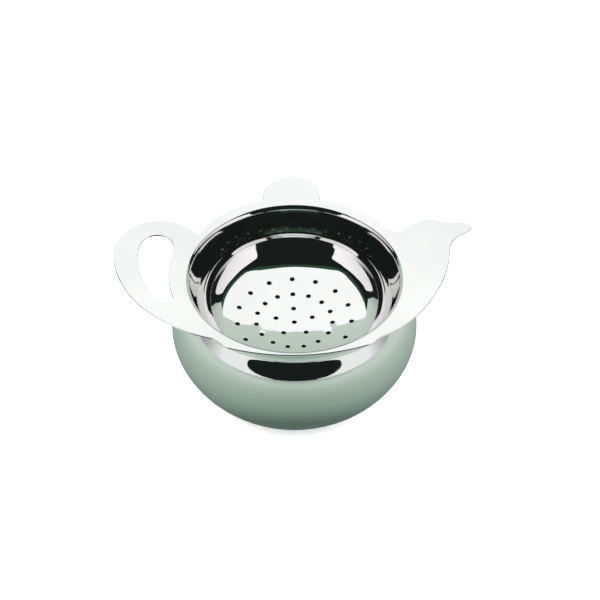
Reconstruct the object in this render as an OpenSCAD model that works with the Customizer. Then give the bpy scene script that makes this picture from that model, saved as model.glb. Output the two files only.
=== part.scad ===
// Tea strainer lying on its drip bowl.
// Frame: origin on the table under the middle of the bowl, +Z up, +X towards the spout, +Y towards the knob.

/* [Sheet] */
// Thickness of the strainer sheet
sheet_t = 0.6; // [0.5:0.1:0.8]
// Thickness of the bowl wall
bowl_t = 0.6; // [0.4:0.1:0.6]

/* [Strainer cup] */
// Radius where the flat plate starts to bend down into the cup
mouth_r = 34.2; // [33.8:0.1:34.4]
// Radius of the bend at the mouth, on the upper face
bend_r = 1.5; // [1.2:0.1:1.8]
// Depth of the cup from the plate's upper face to the middle of its bottom
cup_depth = 19; // [17:0.5:22]
// Radius of the corner between the cup's sloping wall and its bottom
cup_corner_r = 11.4; // [10:0.1:12]
// Distance of the corner arc's middle from the cup's axis
corner_x = 19.7; // [19:0.1:20]
// Radius of the shallow dish that forms the bottom
dish_r = 100; // [80:5:140]

/* [Drain holes] */
// Diameter of a drain hole
hole_d = 1.5; // [1:0.1:2]
// Distance from one ring of holes to the next
ring_pitch = 6; // [5:0.25:6.5]
// Number of holes in each ring, from the middle outwards
ring_holes = [5, 15, 15]; // [3:1:18]

/* [Teapot plate] */
// Radius of the lid's edge at the back of the plate
lid_r = 37.3; // [36.5:0.1:38]
// Radius of the round knob tab
knob_r = 9.1; // [7:0.1:10]
// Distance of the knob's middle from the cup's axis
knob_y = 38.3; // [37:0.1:40]
// How far the knob sits towards the spout
knob_x = 0.5; // [-1:0.1:1]

/* [Drip bowl] */
// Height of the bowl from the table to its rim
bowl_h = 42.7; // [42.3:0.1:46]
// Largest radius of the bowl
belly_r = 38.5; // [37:0.1:42]
// Height of the largest radius above the table
belly_z = 23.5; // [18:0.5:26]
// Radius of the outside of the bowl's upright rim
rim_r = 34.4; // [34.4:0.1:34.8]
// Height above the table at which the shoulder turns into the upright rim
neck_z = 41.8; // [40:0.1:42]
// Radius of the flat base that the bowl stands on
base_r = 20; // [15:0.5:24]
// How far the belly runs straight down before it turns in to the base
belly_pull = 12.5; // [9:0.5:16]
// How far the base runs straight out before it turns up to the belly
base_pull = 4; // [2:0.5:8]
// How far the belly runs straight up before it turns in over the shoulder
shoulder_pull = 12.6; // [8:0.2:14]
// How far the rim runs straight down before it turns out into the shoulder
neck_pull = 3.8; // [2:0.2:5]

/* [Hidden] */
$fn = 96;
// Play between the plate's underside and the bowl's rim
seat_play = 0.05;
// Upper face of the plate, and the middle of the cup's bottom
plate_z = bowl_h + seat_play + sheet_t;
cup_z = plate_z - cup_depth;
// Height of the corner arc's middle, and where it meets the dish smoothly
corner_z = cup_z + dish_r - sqrt(pow(dish_r - cup_corner_r, 2) - pow(corner_x, 2));
corner_a = asin(corner_x / (dish_r - cup_corner_r));
// Slope of the cup's straight wall away from upright, which meets the corner and the bend smoothly
bend_from_corner = [mouth_r - corner_x, plate_z - bend_r - corner_z];
draft_a = acos((cup_corner_r + bend_r) / norm(bend_from_corner))
  - atan2(bend_from_corner[1], bend_from_corner[0]);
// Middle of the bowl's rounded lip
lip_x = rim_r - bowl_t / 2;
lip_z = bowl_h - bowl_t / 2;
// Points on a curved stretch of a profile, and the overlap of shapes that are joined
steps = 24;
overlap = 0.01;

// Points of a circular arc about [cx, cy] from angle a0 to angle a1
function arc(cx, cy, r, a0, a1, n) =
  [for (i = [0:n]) let (a = a0 + (a1 - a0) * i / n) [cx + r * cos(a), cy + r * sin(a)]];

// Points of a cubic curve that leaves p0 towards c0 and reaches p1 from c1, without p1 itself
function curve(p0, c0, c1, p1, n = 12) =
  [for (i = [0:n - 1]) let (t = i / n, s = 1 - t)
    s * s * s * p0 + 3 * s * s * t * c0 + 3 * s * t * t * c1 + t * t * t * p1];

// Outline of the teapot, anticlockwise from the notch between handle and lid
lid_spout_a = 43.5;
lid_handle_a = 134.5;
lid_spout = lid_r * [cos(lid_spout_a), sin(lid_spout_a)];
lid_handle = lid_r * [cos(lid_handle_a), sin(lid_handle_a)];
foot_half = 20.8;
foot_y = -31.2;
foot_r = 62;
foot_a = asin(foot_half / foot_r);
foot_cy = foot_y + foot_r * cos(foot_a);
teapot_outline = concat(
  curve([-29.6, 21.2], [-33.0, 25.6], [-37.3, 28.2], [-42.0, 28.2]),
  curve([-42.0, 28.2], [-50.5, 28.2], [-56.4, 20.5], [-56.4, 11.5]),
  curve([-56.4, 11.5], [-56.4, 2.5], [-52.0, -8.2], [-45.3, -14.6]),
  curve([-45.3, -14.6], [-40.0, -19.7], [-34.5, -23.9], [-27.2, -26.2]),
  curve([-27.2, -26.2], [-24.2, -27.1], [-24.4, -30.0], [-foot_half, foot_y]),
  arc(0, foot_cy, foot_r, -90 - foot_a, -90 + foot_a, 24),
  curve([foot_half, foot_y], [24.4, -30.1], [24.0, -28.2], [26.5, -27.0]),
  curve([26.5, -27.0], [35.5, -22.5], [42.0, -13.5], [45.8, -4.0]),
  curve([45.8, -4.0], [48.4, 2.5], [48.8, 6.0], [49.2, 10.5]),
  curve([49.2, 10.5], [49.8, 17.5], [53.5, 17.6], [56.0, 19.9]),
  curve([56.0, 19.9], [57.8, 21.6], [56.3, 24.0], [53.2, 24.0]),
  curve([53.2, 24.0], [49.8, 24.0], [47.5, 24.6], [45.0, 25.7]),
  curve([45.0, 25.7], [43.0, 26.5], [38.5, 25.4], [34.2, 20.4]),
  curve([34.2, 20.4], [31.5, 20.8], [28.7, 21.8], [28.2, 23.4]),
  curve([28.2, 23.4], [27.9, 24.4], [27.7, 25.1], lid_spout),
  arc(0, 0, lid_r, lid_spout_a, lid_handle_a, 48),
  curve([-26.8, 25.4], [-27.4, 24.0], [-28.4, 22.4], [-29.6, 21.2])
);

// Outline of the finger hole in the handle
finger_hole_outline = concat(
  curve([-42.6, 21.0], [-46.6, 21.0], [-48.5, 17.0], [-48.5, 11.0]),
  curve([-48.5, 11.0], [-48.5, 4.5], [-46.5, -3.2], [-42.9, -7.8]),
  curve([-42.9, -7.8], [-41.6, -9.5], [-39.6, -9.6], [-38.2, -7.8]),
  curve([-38.2, -7.8], [-39.6, -2.0], [-39.9, 4.5], [-38.4, 9.8]),
  curve([-38.4, 9.8], [-36.6, 14.6], [-37.0, 21.0], [-42.6, 21.0])
);

// Whole silhouette of the teapot: body, handle, spout and lid, with the knob standing on the lid
module teapot() {
  polygon(teapot_outline);
  translate([knob_x, knob_y])
    circle(knob_r);
  translate([knob_x - knob_r, 0])
    square([2 * knob_r, knob_y]);
}

// Plate of the strainer: flat sheet in the teapot's outline, open at the cup's mouth and in the handle
module plate() {
  translate([0, 0, plate_z - sheet_t])
    linear_extrude(sheet_t)
      difference() {
        teapot();
        polygon(finger_hole_outline);
        circle(mouth_r);
      }
}

// Cross-section of one face of the cup, from the plate in to the axis, sunk = 0 for the upper face
function cup_face(sunk) = concat(
  [[mouth_r + overlap, plate_z - sunk]],
  arc(mouth_r, plate_z - bend_r, bend_r - sunk, 90, 180 - draft_a, 8),
  arc(corner_x, corner_z, cup_corner_r + sunk, -draft_a, corner_a - 90, steps),
  arc(0, cup_z + dish_r, dish_r + sunk, corner_a - 90, -90, 8)
);

function reversed(points) = [for (i = [len(points) - 1:-1:0]) points[i]];

// Cup drawn down out of the plate, one sheet thick all over
module cup() {
  rotate_extrude()
    polygon(concat(cup_face(0), reversed(cup_face(sheet_t))));
}

// Drain holes: one in the middle and rings of holes around it, each ring starting on the knob's side
module drain_holes() {
  translate([0, 0, cup_z - 2 * sheet_t])
    cylinder(d = hole_d, h = 4 * sheet_t, $fn = 24);
  for (ring = [0:len(ring_holes) - 1])
    for (i = [0:ring_holes[ring] - 1])
      rotate(90 - 360 * i / ring_holes[ring])
        translate([ring_pitch * (ring + 1), 0, cup_z - 2 * sheet_t])
          cylinder(d = hole_d, h = 6 * sheet_t, $fn = 24);
}

// Strainer: plate and cup pressed from one sheet, with its holes punched
module strainer() {
  color("gainsboro")
    difference() {
      union() {
        plate();
        cup();
      }
      drain_holes();
    }
}

// Outside of the bowl: base, round belly, and a shoulder that turns in and then up to the rim
bowl_outside = concat(
  [[0, 0]],
  curve([base_r, 0], [base_r + base_pull, 0], [belly_r, belly_z - belly_pull], [belly_r, belly_z], steps),
  curve(
    [belly_r, belly_z], [belly_r, belly_z + shoulder_pull],
    [rim_r, neck_z - neck_pull], [rim_r, neck_z], steps
  ),
  [[rim_r, neck_z]]
);

// The same path moved inwards by the wall's thickness
function inside_of(path, t) = [for (i = [0:len(path) - 1])
  let (
    a = path[max(i - 1, 0)],
    b = path[min(i + 1, len(path) - 1)],
    d = (b - a) / norm(b - a)
  )
  i == 0 ? [0, t] : path[i] + t * [-d[1], d[0]]];

// Drip bowl: one spun skin with a flat base, a round belly, an upright rim and a rounded lip
module drip_bowl() {
  color("silver")
    rotate_extrude()
      polygon(concat(
        bowl_outside,
        arc(lip_x, lip_z, bowl_t / 2, 0, 180, 10),
        reversed(inside_of(bowl_outside, bowl_t))
      ));
}

strainer();
drip_bowl();
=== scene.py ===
import bpy
import math
import numpy as np
from mathutils import Matrix, Quaternion, Vector


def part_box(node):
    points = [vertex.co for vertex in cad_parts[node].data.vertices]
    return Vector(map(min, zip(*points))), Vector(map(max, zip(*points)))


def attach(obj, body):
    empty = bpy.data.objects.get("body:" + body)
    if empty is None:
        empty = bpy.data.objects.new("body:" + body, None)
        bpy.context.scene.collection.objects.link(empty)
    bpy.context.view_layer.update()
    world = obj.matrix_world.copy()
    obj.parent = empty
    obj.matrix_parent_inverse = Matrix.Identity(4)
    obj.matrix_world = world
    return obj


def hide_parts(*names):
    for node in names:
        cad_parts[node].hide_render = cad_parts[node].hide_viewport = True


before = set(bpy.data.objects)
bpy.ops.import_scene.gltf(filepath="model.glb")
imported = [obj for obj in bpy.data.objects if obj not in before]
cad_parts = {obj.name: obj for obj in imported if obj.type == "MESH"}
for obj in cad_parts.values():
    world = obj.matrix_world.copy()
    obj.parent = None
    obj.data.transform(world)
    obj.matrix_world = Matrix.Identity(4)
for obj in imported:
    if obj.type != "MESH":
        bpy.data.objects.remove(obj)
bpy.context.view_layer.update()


# ---------------------------------------------------------------------------------------------
# Drip bowl. A round-bellied bowl of stainless sheet, spun over a former and buffed to a mirror.
# It stands on a small flat base, and its rolled lip carries the strainer's plate all round.
# ---------------------------------------------------------------------------------------------
MM = 0.001
bowl_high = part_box("drip_bowl")[1]
bowl_wall = 0.6 * MM
base_r, base_reach = 20 * MM, 4 * MM
belly_r, belly_z = bowl_high.x, 23.5 * MM
belly_drop, belly_rise = 12.5 * MM, 12.6 * MM
rim_r, rim_drop, neck_z = 34.4 * MM, 3.8 * MM, 41.8 * MM
lip_r, lip_z = rim_r - bowl_wall / 2, bowl_high.z - bowl_wall / 2
spin_steps = 256
base_points, belly_points, lip_points = 10, 56, 12
buffed_colours = ("#E4E9E5", "#E9EBE9")
satin_colours = ("#C9CFCB", "#D3D7D4")
satin_softness, satin_line_depth = (0.26, 0.34), 0.25
weld = 0.001 * MM


def arc(cx, cy, radius, start, end, count):
    """Points on a circular arc about (cx, cy), its angles in degrees, both ends included."""
    turn = np.radians(np.linspace(start, end, count + 1))
    return np.stack([cx + radius * np.cos(turn), cy + radius * np.sin(turn)], axis=1)


def curve(p0, c0, c1, p1, count=24):
    """Points on a cubic curve that leaves p0 towards c0 and reaches p1 from c1, without p1."""
    t = np.linspace(0, 1, count, endpoint=False)[:, None]
    p0, c0, c1, p1 = (np.array(p, float) for p in (p0, c0, c1, p1))
    return (1 - t) ** 3 * p0 + 3 * (1 - t) ** 2 * t * c0 + 3 * (1 - t) * t**2 * c1 + t**3 * p1


def moved_in(path, distance):
    """The same path moved to its left by a distance."""
    along = np.gradient(path, axis=0)
    along /= np.linalg.norm(along, axis=1)[:, None]
    return path + distance * np.stack([-along[:, 1], along[:, 0]], axis=1)


def spun(name, profile):
    """Draws a profile of (radius, height) points by extruding one vertex, and spins it round Z."""
    bpy.ops.object.select_all(action="DESELECT")
    bpy.ops.mesh.primitive_plane_add(size=MM, location=(0, 0, 0))
    piece = bpy.context.object
    piece.name = piece.data.name = name
    bpy.ops.object.mode_set(mode="EDIT")
    bpy.ops.mesh.select_mode(type="VERT")
    bpy.ops.mesh.select_all(action="SELECT")
    bpy.ops.mesh.merge(type="CENTER")
    bpy.ops.transform.translate(value=(profile[0][0], 0, profile[0][1]))
    for step in np.diff(profile, axis=0):
        bpy.ops.mesh.extrude_region_move(TRANSFORM_OT_translate={"value": (step[0], 0, step[1])})
    bpy.ops.mesh.select_all(action="SELECT")
    bpy.ops.mesh.spin(steps=spin_steps, angle=2 * math.pi, center=(0, 0, 0), axis=(0, 0, 1))
    bpy.ops.mesh.select_all(action="SELECT")
    bpy.ops.mesh.remove_doubles(threshold=weld)
    bpy.ops.mesh.normals_make_consistent(inside=False)
    bpy.ops.mesh.faces_shade_smooth()
    bpy.ops.object.mode_set(mode="OBJECT")
    return piece


bowl_outside = np.concatenate([
    curve((0, 0), (base_r / 3, 0), (base_r * 2 / 3, 0), (base_r, 0), base_points),
    curve((base_r, 0), (base_r + base_reach, 0),
          (belly_r, belly_z - belly_drop), (belly_r, belly_z), belly_points),
    curve((belly_r, belly_z), (belly_r, belly_z + belly_rise),
          (rim_r, neck_z - rim_drop), (rim_r, neck_z), belly_points),
    [(rim_r, neck_z), (rim_r, (neck_z + lip_z) / 2)],
])
bowl_inside = moved_in(bowl_outside, bowl_wall)
bowl_inside[0] = (0, bowl_wall)
bowl_lip = arc(lip_r, lip_z, bowl_wall / 2, 0, 180, lip_points)
bowl = spun("spun_drip_bowl", np.concatenate([bowl_outside, bowl_lip, bowl_inside[::-1]]))


def linear(hex_colour):
    """An sRGB hex colour as linear red, green, blue and alpha."""
    parts = [int(hex_colour[i:i + 2], 16) / 255 for i in (1, 3, 5)]
    return [c / 12.92 if c <= 0.04045 else ((c + 0.055) / 1.055) ** 2.4 for c in parts] + [1]


def node(tree, kind, settings=None, **links):
    """Adds a node with its settings, its set inputs and its links. An input goes by its name, or
    by i and its number."""
    new = tree.nodes.new(kind)
    for key, value in (settings or {}).items():
        setattr(new, key, value)
    for key, value in links.items():
        socket = new.inputs[int(key[1:])] if key[1:].isdigit() else new.inputs[key.replace("_", " ")]
        if isinstance(value, bpy.types.NodeSocket):
            tree.links.new(value, socket)
        else:
            socket.default_value = value
    return new


def turned_grain(tree, place):
    """Places whose pattern runs in rings round the Z axis, and changes only slowly along them."""
    multiply, multiply_add = {"operation": "MULTIPLY"}, {"operation": "MULTIPLY_ADD"}
    axes = node(tree, "ShaderNodeSeparateXYZ", i0=place)
    x, y, z = axes.outputs
    square_x = node(tree, "ShaderNodeMath", multiply, i0=x, i1=x)
    square = node(tree, "ShaderNodeMath", multiply_add, i0=y, i1=y, i2=square_x.outputs[0])
    radius = node(tree, "ShaderNodeMath", {"operation": "SQRT"}, i0=square.outputs[0])
    grain = node(tree, "ShaderNodeCombineXYZ", i0=radius.outputs[0], i1=z)
    slow = node(tree, "ShaderNodeVectorMath", multiply, i0=place, i1=(0.03, 0.03, 0))
    return node(tree, "ShaderNodeVectorMath", {"operation": "ADD"},
                i0=grain.outputs[0], i1=slow.outputs[0])


def straight_grain(tree, place, stretch):
    """Places whose pattern is drawn out along the axes with the small factors."""
    return node(tree, "ShaderNodeVectorMath", {"operation": "MULTIPLY"}, i0=place, i1=stretch)


def buffed_steel(name, colours, line_width, turned_lines, softness=(0.025, 0.075), line_depth=0.02):
    """Stainless steel worked with a wheel or a tool: hair-fine lines and stray scratches soften
    the edges of what it mirrors, fingers leave faint greasy films, and the tint drifts a little."""
    scratch_width = 3 * line_width
    film_size, drift_size, groove_depth = 14 * MM, 45 * MM, 0.02 * MM
    material = bpy.data.materials.new(name)
    material.use_nodes = True
    tree = material.node_tree
    shader = tree.nodes["Principled BSDF"]
    place = node(tree, "ShaderNodeTexCoord").outputs["Object"]
    lines_at = turned_grain(tree, place) if turned_lines else straight_grain(tree, place, (0.04, 1, 1))
    lines = node(tree, "ShaderNodeTexNoise", Vector=lines_at.outputs[0], Scale=1 / line_width,
                 Detail=3, Roughness=0.6)
    scratch_at = straight_grain(tree, place, (1, 0.06, 1))
    scratches = node(tree, "ShaderNodeTexNoise", Vector=scratch_at.outputs[0], Scale=1 / scratch_width,
                     Detail=4, Roughness=0.7)
    film = node(tree, "ShaderNodeTexNoise", Vector=place, Scale=1 / film_size, Detail=4, Roughness=0.55)
    drift = node(tree, "ShaderNodeTexNoise", Vector=place, Scale=1 / drift_size, Detail=2, Roughness=0.5)
    tint = node(tree, "ShaderNodeValToRGB", Fac=drift.outputs[0])
    for stop, position, colour in zip(tint.color_ramp.elements, (0.3, 0.7), colours):
        stop.position = position
        stop.color = linear(colour)
    gloss = node(tree, "ShaderNodeMapRange", Value=film.outputs[0], From_Min=0.42, From_Max=0.75,
                 To_Min=softness[0], To_Max=softness[1])
    height = node(tree, "ShaderNodeMath", {"operation": "ADD"},
                  i0=lines.outputs[0], i1=scratches.outputs[0])
    relief = node(tree, "ShaderNodeBump", Height=height.outputs[0], Strength=line_depth,
                  Distance=groove_depth)
    tree.links.new(tint.outputs[0], shader.inputs["Base Color"])
    tree.links.new(gloss.outputs[0], shader.inputs["Roughness"])
    tree.links.new(relief.outputs[0], shader.inputs["Normal"])
    shader.inputs["Metallic"].default_value = 1
    return material


# Outside: mirror-buffed as it spins, so faint rings run round it and stretch what it mirrors.
# Inside: left satin from the spinning tool, whose coarser rings blur everything into soft grey.
bowl.data.materials.clear()
bowl.data.materials.append(buffed_steel("spun_and_buffed_stainless", buffed_colours, 0.12 * MM, True))
bowl.data.materials.append(buffed_steel(
    "spun_satin_stainless", satin_colours, 0.18 * MM, True, satin_softness, satin_line_depth))
for face in bowl.data.polygons:
    reach = math.hypot(face.center.x, face.center.y)
    inward = face.normal.x * face.center.x + face.normal.y * face.center.y < -0.05 * reach
    on_floor = face.normal.z > 0.5 and face.center.z < belly_z
    if inward and face.center.z < lip_z or on_floor:
        face.material_index = 1
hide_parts("drip_bowl")
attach(bowl, "bowl")


# ---------------------------------------------------------------------------------------------
# Strainer. One stainless sheet, blanked in a teapot's outline, with the cup drawn down through
# the middle and its shallow bottom punched with drain holes. It lies loose on the bowl's lip.
# ---------------------------------------------------------------------------------------------
plate_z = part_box("strainer")[1].z
sheet = 0.6 * MM
mouth_r, bend_r = 34.2 * MM, 1.5 * MM
cup_depth = 19 * MM
corner_r, corner_x = 11.4 * MM, 19.7 * MM
dish_r = 100 * MM
hole_r, ring_pitch, ring_holes = 0.75 * MM, 6 * MM, (5, 15, 15)
# The sheet is drawn down a little round each hole, and its cut edges are rounded inside a hem
dimple_depth, dimple_reach = 0.022 * MM, 0.55 * MM
hem, outline_round, burr_round = 0.32 * MM, 0.28 * MM, 0.1 * MM
mirror_colours = ("#E3E6E4", "#F0F1F0")

# Where the dish, the corner, the sloping wall and the bend at the mouth meet smoothly
dish_z = plate_z - cup_depth + dish_r
corner_z = dish_z - math.sqrt((dish_r - corner_r) ** 2 - corner_x**2)
corner_a = math.degrees(math.asin(corner_x / (dish_r - corner_r)))
bend_z = plate_z - bend_r
draft_a = math.degrees(
    math.acos((corner_r + bend_r) / math.hypot(mouth_r - corner_x, bend_z - corner_z))
    - math.atan2(bend_z - corner_z, mouth_r - corner_x))
dish_edge_r = dish_r * math.sin(math.radians(corner_a))
perforated_r = 21 * MM
support_r = mouth_r + 0.15 * MM

# Outline of the teapot in millimetres, anticlockwise from the notch between handle and lid
foot_half, foot_y, foot_r = 20.8, -31.2, 62
foot_a = math.degrees(math.asin(foot_half / foot_r))
foot_cy = foot_y + foot_r * math.cos(math.radians(foot_a))
lid_r, lid_spout_a, lid_handle_a = 37.3, 43.5, 134.5
knob_r, knob_x, knob_y = 9.1, 0.5, 38.3
knob_right_a = math.degrees(math.acos((knob_x + knob_r) / lid_r))
knob_left_a = math.degrees(math.acos((knob_x - knob_r) / lid_r))
lid_right = arc(0, 0, lid_r, lid_spout_a, knob_right_a, 30)
lid_left = arc(0, 0, lid_r, knob_left_a, lid_handle_a, 34)
teapot_outline = MM * np.concatenate([
    curve((-29.6, 21.2), (-33.0, 25.6), (-37.3, 28.2), (-42.0, 28.2)),
    curve((-42.0, 28.2), (-50.5, 28.2), (-56.4, 20.5), (-56.4, 11.5)),
    curve((-56.4, 11.5), (-56.4, 2.5), (-52.0, -8.2), (-45.3, -14.6)),
    curve((-45.3, -14.6), (-40.0, -19.7), (-34.5, -23.9), (-27.2, -26.2)),
    curve((-27.2, -26.2), (-24.2, -27.1), (-24.4, -30.0), (-foot_half, foot_y), 12),
    arc(0, foot_cy, foot_r, -90 - foot_a, -90 + foot_a, 48),
    curve((foot_half, foot_y), (24.4, -30.1), (24.0, -28.2), (26.5, -27.0), 12)[1:],
    curve((26.5, -27.0), (35.5, -22.5), (42.0, -13.5), (45.8, -4.0)),
    curve((45.8, -4.0), (48.4, 2.5), (48.8, 6.0), (49.2, 10.5), 16),
    curve((49.2, 10.5), (49.8, 17.5), (53.5, 17.6), (56.0, 19.9), 16),
    curve((56.0, 19.9), (57.8, 21.6), (56.3, 24.0), (53.2, 24.0), 12),
    curve((53.2, 24.0), (49.8, 24.0), (47.5, 24.6), (45.0, 25.7), 12),
    curve((45.0, 25.7), (43.0, 26.5), (38.5, 25.4), (34.2, 20.4), 16),
    curve((34.2, 20.4), (31.5, 20.8), (28.7, 21.8), (28.2, 23.4), 10),
    curve((28.2, 23.4), (27.9, 24.4), (27.7, 25.1), lid_right[0], 4),
    lid_right,
    arc(knob_x, knob_y, knob_r, 0, 180, 48),
    lid_left,
    curve((-26.8, 25.4), (-27.4, 24.0), (-28.4, 22.4), (-29.6, 21.2), 8),
])
finger_hole_outline = MM * np.concatenate([
    curve((-42.6, 21.0), (-46.6, 21.0), (-48.5, 17.0), (-48.5, 11.0)),
    curve((-48.5, 11.0), (-48.5, 4.5), (-46.5, -3.2), (-42.9, -7.8)),
    curve((-42.9, -7.8), (-41.6, -9.5), (-39.6, -9.6), (-38.2, -7.8), 12),
    curve((-38.2, -7.8), (-39.6, -2.0), (-39.9, 4.5), (-38.4, 9.8)),
    curve((-38.4, 9.8), (-36.6, 14.6), (-37.0, 21.0), (-42.6, 21.0)),
])


def ring(name, points, z):
    """A closed loop of edges: a circle primitive whose vertices are moved onto the points."""
    bpy.ops.object.select_all(action="DESELECT")
    bpy.ops.mesh.primitive_circle_add(vertices=len(points), radius=MM)
    loop = bpy.context.object
    loop.name = name
    places = np.column_stack([points, np.full(len(points), z)])
    loop.data.vertices.foreach_set("co", places.ravel())
    return loop


def joined(pieces):
    """Several objects made one, which takes the first one's name."""
    bpy.ops.object.select_all(action="DESELECT")
    for piece in pieces:
        piece.select_set(True)
    bpy.context.view_layer.objects.active = pieces[0]
    bpy.ops.object.join()
    return pieces[0]


def filled(pieces):
    """Joins open rings and fills the sheet between their free edges."""
    sheet_face = joined(pieces)
    bpy.ops.object.mode_set(mode="EDIT")
    bpy.ops.mesh.select_mode(type="EDGE")
    bpy.ops.mesh.select_all(action="DESELECT")
    bpy.ops.mesh.select_non_manifold(extend=False, use_wire=True, use_boundary=True)
    bpy.ops.object.mode_set(mode="OBJECT")
    for edge in sheet_face.data.edges:
        middle = sum((sheet_face.data.vertices[v].co for v in edge.vertices), Vector()) / 2
        if any((middle - c).length < hole_r * 1.05 for c in hole_centres):
            edge.select = False
    bpy.ops.object.mode_set(mode="EDIT")
    bpy.ops.mesh.fill(use_beauty=True)
    bpy.ops.object.mode_set(mode="OBJECT")
    return sheet_face


def turned(radius, count):
    """Points all round a circle, in step with the spun walls."""
    return arc(0, 0, radius, 0, 360, count)[:-1]


hole_centres = [Vector((0, 0, 0))]
for number, count in enumerate(ring_holes, 1):
    for i in range(count):
        turn = math.pi / 2 - 2 * math.pi * i / count
        reach = number * ring_pitch
        hole_centres.append(Vector((reach * math.cos(turn), reach * math.sin(turn), 0)))

# One drain hole: the hole's edge and the rings of sheet round it that the punch has drawn down
washer_radii = (1.0, 1.35, 1.6, 1.9, 2.3, 2.8)
bpy.ops.object.select_all(action="DESELECT")
bpy.ops.mesh.primitive_circle_add(vertices=32, radius=hole_r)
washer = bpy.context.object
bpy.ops.object.mode_set(mode="EDIT")
bpy.ops.mesh.select_all(action="SELECT")
for inner, outer in zip(washer_radii, washer_radii[1:]):
    grow = outer / inner
    bpy.ops.mesh.extrude_region_move()
    bpy.ops.transform.resize(value=(grow, grow, 1), center_override=(0, 0, 0))
bpy.ops.object.mode_set(mode="OBJECT")
washers = []
for centre in hole_centres:
    copy = washer.copy()
    copy.data = washer.data.copy()
    bpy.context.collection.objects.link(copy)
    copy.data.transform(Matrix.Translation(centre))
    washers.append(copy)
bpy.data.objects.remove(washer)

dish = filled([ring("dish", turned(perforated_r, spin_steps), 0)] + washers)


def dish_height(x, y):
    """Height of the dish's upper face, with the sheet drawn down a little round every hole."""
    z = dish_z - np.sqrt(dish_r**2 - x**2 - y**2)
    for centre in hole_centres:
        away = np.maximum(np.hypot(x - centre.x, y - centre.y) - hole_r, 0)
        z = z - dimple_depth * np.exp(-((away / dimple_reach) ** 2) / 2)
    return z


def vertex_places(mesh):
    """The places of all vertices of a mesh, one row each."""
    places = np.empty(len(mesh.vertices) * 3)
    mesh.vertices.foreach_get("co", places)
    return places.reshape(-1, 3)


places = vertex_places(dish.data)
places[:, 2] = dish_height(places[:, 0], places[:, 1])
dish.data.vertices.foreach_set("co", places.ravel())

# The drawn wall from the dish's edge up to the mouth
edge_a = -90 + math.degrees(math.asin(perforated_r / dish_r))
wall = spun("wall", np.concatenate([
    arc(0, dish_z, dish_r, edge_a, corner_a - 90, 4),
    arc(corner_x, corner_z, corner_r, corner_a - 90, -draft_a, 48)[1:],
    arc(mouth_r, bend_z, bend_r, 180 - draft_a, 90, 20),
    [(support_r, plate_z)],
]))


def hemmed(path, distance):
    """A closed path moved to its left by a distance, further at a corner so both sides keep it."""
    ahead = np.roll(path, -1, axis=0) - path
    ahead /= np.linalg.norm(ahead, axis=1)[:, None]
    behind = np.roll(ahead, 1, axis=0)
    left = np.stack([-ahead[:, 1] - behind[:, 1], ahead[:, 0] + behind[:, 0]], axis=1)
    return path + distance * left / (1 + (ahead * behind).sum(axis=1))[:, None]


# The flat plate, filled from the mouth to the inner edge of the hem
outline_hem = hemmed(teapot_outline, hem)
finger_hole_hem = hemmed(finger_hole_outline, -hem)
plate = filled([
    ring("plate", turned(support_r, spin_steps), plate_z),
    ring("outline", outline_hem, plate_z),
    ring("finger_hole", finger_hole_hem, plate_z),
])

# A narrow hem of square faces is extruded from the sheet's free edges out to the true outlines
bpy.ops.object.mode_set(mode="EDIT")
bpy.ops.mesh.select_mode(type="EDGE")
bpy.ops.mesh.select_all(action="DESELECT")
bpy.ops.mesh.select_non_manifold(extend=False, use_wire=False, use_boundary=True)
bpy.ops.object.mode_set(mode="OBJECT")
for edge in plate.data.edges:
    ends = [plate.data.vertices[v].co for v in edge.vertices]
    if edge.select and all(end.xy.length < support_r + 0.01 * MM for end in ends):
        edge.select = False
bpy.ops.object.mode_set(mode="EDIT")
bpy.ops.mesh.extrude_region_move()
bpy.ops.object.mode_set(mode="OBJECT")
inner_edge = np.concatenate([outline_hem, finger_hole_hem])
outer_edge = np.concatenate([teapot_outline, finger_hole_outline])
for vertex in plate.data.vertices:
    if vertex.select:
        away = np.hypot(*(inner_edge - vertex.co.xy).T)
        vertex.co.xy = outer_edge[away.argmin()]
strainer = joined([plate, wall, dish])
strainer.name = strainer.data.name = "pressed_strainer"
bpy.ops.object.mode_set(mode="EDIT")
bpy.ops.mesh.select_all(action="SELECT")
bpy.ops.mesh.remove_doubles(threshold=2 * weld)
bpy.ops.mesh.normals_make_consistent(inside=False)
bpy.ops.mesh.faces_shade_smooth()
bpy.ops.object.mode_set(mode="OBJECT")
if sum(p.normal.z * p.area for p in strainer.data.polygons) < 0:
    strainer.data.flip_normals()

solid = strainer.modifiers.new("sheet thickness", "SOLIDIFY")
solid.thickness = sheet
solid.offset = -1
solid.use_even_offset = True
bpy.ops.object.modifier_apply(modifier=solid.name)


def rounded(piece, width, lowest_reach, highest_reach):
    """Rounds the level sharp edges whose distance from the Z axis lies between two limits."""
    bpy.ops.object.mode_set(mode="EDIT")
    bpy.ops.mesh.select_mode(type="EDGE")
    bpy.ops.mesh.select_all(action="DESELECT")
    bpy.ops.mesh.edges_select_sharp(sharpness=math.radians(50))
    bpy.ops.object.mode_set(mode="OBJECT")
    for edge in piece.data.edges:
        start, end = (piece.data.vertices[v].co for v in edge.vertices)
        reach = (start + end).xy.length / 2
        upright = abs(start.z - end.z) > sheet / 2
        if edge.select and (upright or not lowest_reach < reach < highest_reach):
            edge.select = False
    bpy.ops.object.mode_set(mode="EDIT")
    bpy.ops.mesh.bevel(offset=width, segments=5, clamp_overlap=False)
    bpy.ops.object.mode_set(mode="OBJECT")


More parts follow.
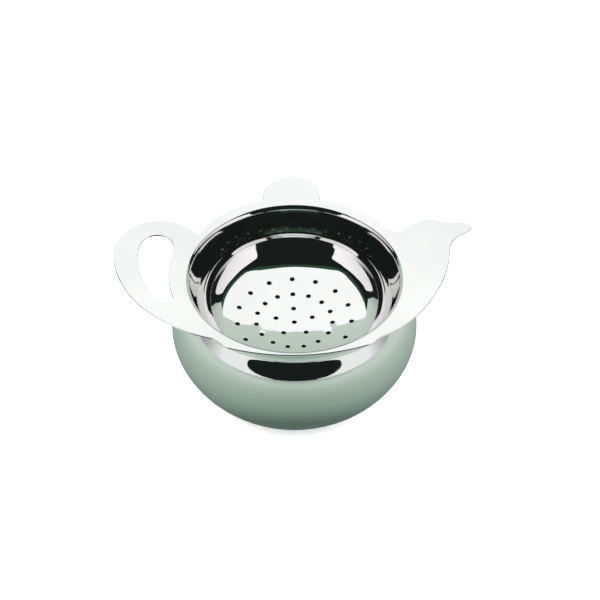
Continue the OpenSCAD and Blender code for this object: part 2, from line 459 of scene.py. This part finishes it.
# The blanked outline is tumbled round; the punched holes only lose their burr
rounded(strainer, outline_round, mouth_r, 2 * mouth_r)
rounded(strainer, burr_round, -MM, perforated_r)
def lined_up(mesh):
    """Gives every smooth stretch of the strainer the exact direction of its true surface."""
    p = vertex_places(mesh)
    r = np.hypot(p[:, 0], p[:, 1])
    radial = p[:, :2] / np.maximum(r, 1e-9)[:, None]
    z = p[:, 2]
    normal = np.zeros_like(p)
    near = 0.006 * MM

    def set_where(where, out, up):
        normal[where] = np.column_stack([radial * out[:, None], up])[where]

    flat = np.ones(len(p))
    set_where((abs(z - plate_z) < near) & (r > mouth_r - near), 0 * flat, flat)
    set_where((abs(z - plate_z + sheet) < near) & (r > mouth_r - near), 0 * flat, -flat)
    for cx, cz, radius, side, where in (
        (mouth_r, bend_z, bend_r, 1, (r < mouth_r) & (z > bend_z)),
        (mouth_r, bend_z, bend_r - sheet, -1, (r < mouth_r) & (z > bend_z)),
        (corner_x, corner_z, corner_r, -1, (r > corner_x) & (z < corner_z)),
        (corner_x, corner_z, corner_r + sheet, 1, (r > corner_x) & (z < corner_z)),
        (0, dish_z, dish_r, -1, r < dish_edge_r),
        (0, dish_z, dish_r + sheet, 1, r < dish_edge_r),
    ):
        dr, dz = r - cx, z - cz
        away = np.maximum(np.hypot(dr, dz), 1e-9)
        set_where(where & (abs(away - radius) < near), side * dr / away, side * dz / away)
    step = 0.01 * MM
    x, y = p[:, 0], p[:, 1]
    height = dish_height(x, y)
    slope_x = (dish_height(x + step, y) - dish_height(x - step, y)) / (2 * step)
    slope_y = (dish_height(x, y + step) - dish_height(x, y - step)) / (2 * step)
    top = (r < perforated_r * 0.999) & (abs(z - height) < near)
    length = np.sqrt(slope_x**2 + slope_y**2 + 1)
    normal[top] = np.column_stack([-slope_x / length, -slope_y / length, 1 / length])[top]
    return normal


exact = lined_up(strainer.data)
shown = np.empty(len(strainer.data.loops) * 3)
strainer.data.corner_normals.foreach_get("vector", shown)
shown = shown.reshape(-1, 3)
corner = np.empty(len(strainer.data.loops), int)
strainer.data.loops.foreach_get("vertex_index", corner)
exact_here = exact[corner]
agree = (exact_here * shown).sum(axis=1) > 0.5
shown[agree] = exact_here[agree]
strainer.data.normals_split_custom_set(shown)

# Mirror-buffed sheet: straight, nearly invisible lines from the wheel, and sharp, bright mirroring
strainer.data.materials.clear()
strainer.data.materials.append(
    buffed_steel("mirror_buffed_stainless_sheet", mirror_colours, 0.1 * MM, False))
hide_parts("strainer")
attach(strainer, "strainer")


# ---------------------------------------------------------------------------------------------
# Studio. A white floor for the eye; round it, out of the camera's sight, glowing stand-ins with
# painted light and shade for what polished steel needs to mirror: a pale table, white cloths behind
# and at both sides, and a dark room in front.
# ---------------------------------------------------------------------------------------------
room_r, table_r, floor_side = 5, 0.3, 8


def lit(name, colour, strength):
    """Cloth or paper that glows as if evenly lit, its painted light and shade given only by its piece's own
    brightness attribute.
    """
    material = bpy.data.materials.new(name)
    material.use_nodes = True
    tree = material.node_tree
    tree.nodes.clear()
    shade = node(tree, "ShaderNodeAttribute", {"attribute_name": "brightness"})
    power = node(tree, "ShaderNodeMath", {"operation": "MULTIPLY"}, i0=shade.outputs["Fac"], i1=strength)
    light = node(tree, "ShaderNodeEmission", Color=linear(colour), Strength=power.outputs[0])
    node(tree, "ShaderNodeOutputMaterial", Surface=light.outputs[0])
    return material


def only_mirrored(thing):
    """Seen in the steel, and by neither the camera nor the floor."""
    thing.visible_camera = False
    thing.visible_diffuse = False
    thing.visible_shadow = False


eye_z = 30 * MM


def cloth(name, stations, distance, material):
    """A cloth hung round the cup, glowing with painted light. Each station is an azimuth from straight
    behind the cup, clockwise from above, the lowest and highest elevation that the cloth fills there,
    and its painted brightness at its lower and its upper edge."""
    bpy.ops.object.select_all(action="DESELECT")
    bpy.ops.mesh.primitive_grid_add(x_subdivisions=60, y_subdivisions=6, size=2)
    hung = bpy.context.object
    hung.name = name
    across = vertex_places(hung.data)
    stations = np.array(stations, float)
    azimuth = np.interp((across[:, 0] + 1) / 2, (0, 1), (stations[0, 0], stations[-1, 0]))
    lowest = np.interp(azimuth, stations[:, 0], stations[:, 1])
    highest = np.interp(azimuth, stations[:, 0], stations[:, 2])
    if stations.shape[1] > 3:
        low_shade = np.interp(azimuth, stations[:, 0], stations[:, 3])
        high_shade = np.interp(azimuth, stations[:, 0], stations[:, 4])
        shade = low_shade + (high_shade - low_shade) * (across[:, 1] + 1) / 2
    else:
        shade = np.ones(len(azimuth))
    hung.data.attributes.new("brightness", "FLOAT", "POINT").data.foreach_set("value", shade)
    elevation = np.radians(lowest + (highest - lowest) * (across[:, 1] + 1) / 2)
    azimuth = np.radians(azimuth)
    places = distance * np.column_stack([
        np.sin(azimuth) * np.cos(elevation), np.cos(azimuth) * np.cos(elevation), np.sin(elevation)])
    places[:, 2] += eye_z
    hung.data.vertices.foreach_set("co", places.ravel())
    hung.data.update()
    hung.data.materials.append(material)
    only_mirrored(hung)


white = lit("white_cloth", "#FFFFFF", 1.13)
cloth("back_cloth", [
    (-67, 65, 65), (-62, 61.5, 67.5), (-50, 59, 70), (-40, 54.5, 71.5), (-30, 48, 72), (-23, 41, 72),
    (-22, 38.5, 72), (0, 38.5, 71), (20, 38.5, 70), (25, 39, 70), (30, 42, 70), (40, 48, 69.5),
    (50, 54, 69), (60, 58.5, 68), (66, 60.5, 66), (70, 62.5, 63),
], 1.0, white)
rosy_white = lit("rosy_white_cloth", "#FFF8FC", 1.12)
# The last two numbers at each station are painted light: the cloths glow dimmer towards their lower edges
# and towards some of their ends.
cloth("left_cloth", [
    (-131, 20, 24, 1, 1), (-128, 20, 36, 1, 1), (-124, 20, 47, 1, 1), (-120, 20, 52.5, 0.95, 1),
    (-110, 20, 54, 0.85, 1), (-90, 24, 53.5, 0.8, 1), (-80, 26, 51, 0.8, 0.95), (-70, 27, 48.5, 0.8, 0.9),
    (-60, 27.5, 44, 0.85, 0.9), (-58, 29, 43, 0.85, 0.9), (-53, 40, 42, 0.9, 0.9),
], 1.0, rosy_white)
cloth("right_cloth", [
    (52, 40.5, 42, 0.9, 0.9), (56, 32, 44, 0.85, 0.9), (60, 28, 46, 0.85, 0.9), (70, 27, 50, 0.8, 0.95),
    (80, 26, 52, 0.8, 1), (90, 24, 53, 0.8, 1), (100, 20, 54, 0.85, 1), (110, 20, 54, 0.9, 1),
    (120, 20, 53, 0.95, 1), (125, 20, 51.5, 1, 1), (130, 20, 46, 1, 1), (134, 20, 38, 1, 1),
    (137, 20, 26, 1, 1),
], 1.0, rosy_white)
low_white = lit("low_white_cloth", "#F6F4F6", 1.1)
cloth("left_low_cloth", [
    (-160, -25, -6.6, 0.9, 0.9), (-152, -25, -5.5, 0.9, 0.9), (-145, -25, -3.5, 0.95, 0.95),
    (-139, -25, 0, 1, 1), (-136, -25, 4, 1, 1), (-134, -25, 22, 1, 1), (-114, -25, 22, 1, 1),
    (-96, -25, 21, 0.5, 0.5), (-75, -25, 18, 0.25, 0.2),
], 1.05, low_white)
cloth("right_low_cloth", [
    (75, -25, 18, 0.25, 0.2), (98, -25, 21, 0.5, 0.5), (116, -25, 22, 1, 1), (138, -25, 22, 1, 1),
    (140, -25, 5, 1, 1), (142, -25, 1, 1, 1), (148, -25, -3, 0.95, 0.95), (155, -25, -5.5, 0.9, 0.9),
    (163, -25, -6.6, 0.9, 0.9),
], 1.05, low_white)
backdrop = lit("grey_green_backdrop", "#CBD8CE", 1.0)
cloth("backdrop", [
    (-50, 0, 30, 0.5, 0.7), (-45, 0, 36, 0.6, 0.8), (-40, 0, 40, 0.7, 1), (-20, 0, 40, 0.8, 1.05),
    (20, 0, 40, 0.8, 1.05), (40, 0, 40, 0.7, 1), (47, 0, 30, 0.5, 0.7),
], 1.1, backdrop)
# Painted shade: a dark green glow round and above the white back cloth stands in for the unlit dark there.
green = lit("dark_green_painted_shade", "#2C4A38", 1.0)
cloth("green_backing", [
    (-80, 60, 70), (-67, 56, 75), (-50, 52, 78), (-30, 42, 80), (30, 36, 80), (50, 46, 78), (66, 54, 74),
    (80, 58, 70),
], 1.2, green)
room = lit("dark_room", "#1B201E", 1.0)
bpy.ops.object.select_all(action="DESELECT")
bpy.ops.mesh.primitive_uv_sphere_add(segments=32, ring_count=16, radius=room_r)
room_walls = bpy.context.object
room_walls.name = "dark_room"
room_walls.data.attributes.new("brightness", "FLOAT", "POINT").data.foreach_set(
    "value", np.ones(len(room_walls.data.vertices)))
room_walls.data.materials.append(room)
only_mirrored(room_walls)


def painted_shade_table():
    """Grey-green paper that glows, seen only in the steel. A painted shadow of the bowl darkens it close
    by, most in front and behind, and painted shade dims it well in front.
    """
    material = bpy.data.materials.new("grey_green_paper_with_painted_shade")
    material.use_nodes = True
    tree = material.node_tree
    tree.nodes.clear()
    place = node(tree, "ShaderNodeTexCoord").outputs["Object"]
    wide = node(tree, "ShaderNodeVectorMath", {"operation": "MULTIPLY"}, i0=place, i1=(1.5, 1, 1))
    reach = node(tree, "ShaderNodeVectorMath", {"operation": "LENGTH"}, i0=wide.outputs[0])
    shade = node(tree, "ShaderNodeValToRGB", Fac=reach.outputs["Value"])
    ramp = shade.color_ramp
    # Painted shadow of the bowl: dark close round it, lighter further out, and reaching least out at the
    # sides.
    ramp.elements[0].position, ramp.elements[0].color = 0.036, linear("#5F7067")
    ramp.elements[1].position, ramp.elements[1].color = 0.20, linear("#D2DED5")
    for reach_m, colour in ((0.05, "#7F9288"), (0.07, "#97A99E"), (0.10, "#AEBFB4"), (0.14, "#BFCFC4")):
        ramp.elements.new(reach_m).color = linear(colour)
    ahead = node(tree, "ShaderNodeSeparateXYZ", i0=place)
    # Painted shade: the paper's glow dims well in front of the bowl.
    far = node(tree, "ShaderNodeMapRange", Value=ahead.outputs[1], From_Min=-0.30, From_Max=-0.14,
               To_Min=0.48, To_Max=1.0)
    light = node(tree, "ShaderNodeEmission", Color=shade.outputs[0], Strength=far.outputs[0])
    node(tree, "ShaderNodeOutputMaterial", Surface=light.outputs[0])
    return material


bpy.ops.object.select_all(action="DESELECT")
bpy.ops.mesh.primitive_circle_add(
    vertices=96, radius=table_r, fill_type="NGON", location=(0, 0, -0.5 * MM))
table = bpy.context.object
table.name = "painted_shade_table"
table.data.materials.append(painted_shade_table())
only_mirrored(table)

bpy.ops.object.select_all(action="DESELECT")
bpy.ops.mesh.primitive_plane_add(size=floor_side, location=(0, 0, -1 * MM))
floor = bpy.context.object
floor.name = "floor"
pale = bpy.data.materials.new("matt_white_paper")
pale.use_nodes = True
pale.node_tree.nodes["Principled BSDF"].inputs["Base Color"].default_value = linear("#F4F4F4")
pale.node_tree.nodes["Principled BSDF"].inputs["Roughness"].default_value = 0.95
floor.data.materials.append(pale)
floor.visible_glossy = False

world = bpy.data.worlds.new("studio")
bpy.context.scene.world = world
world.use_nodes = True
world.node_tree.nodes["Background"].inputs["Color"].default_value = (1, 1, 1, 1)
world.node_tree.nodes["Background"].inputs["Strength"].default_value = 3.8
world.cycles_visibility.glossy = False


# ---------------------------------------------------------------------------------------------
# Camera. A long lens looks down on the strainer from in front, a hair to the handle's side.
# ---------------------------------------------------------------------------------------------
aim = Vector((2.17, 10.02, 24.35)) * MM
stand_off = 1700 * MM
azimuth, elevation, roll = math.radians(-2.49), math.radians(43.31), math.radians(0.343)
back = Vector((
    math.sin(azimuth) * math.cos(elevation), -math.cos(azimuth) * math.cos(elevation), math.sin(elevation)))
bpy.ops.object.camera_add(location=aim + stand_off * back)
camera = bpy.context.object
camera.rotation_mode = "QUATERNION"
camera.rotation_quaternion = Quaternion(back, roll) @ (-back).to_track_quat("-Z", "Y")
camera.data.sensor_width = 36
camera.data.lens = 323.3
bpy.context.scene.camera = camera
bpy.context.scene.view_settings.view_transform = "Standard"
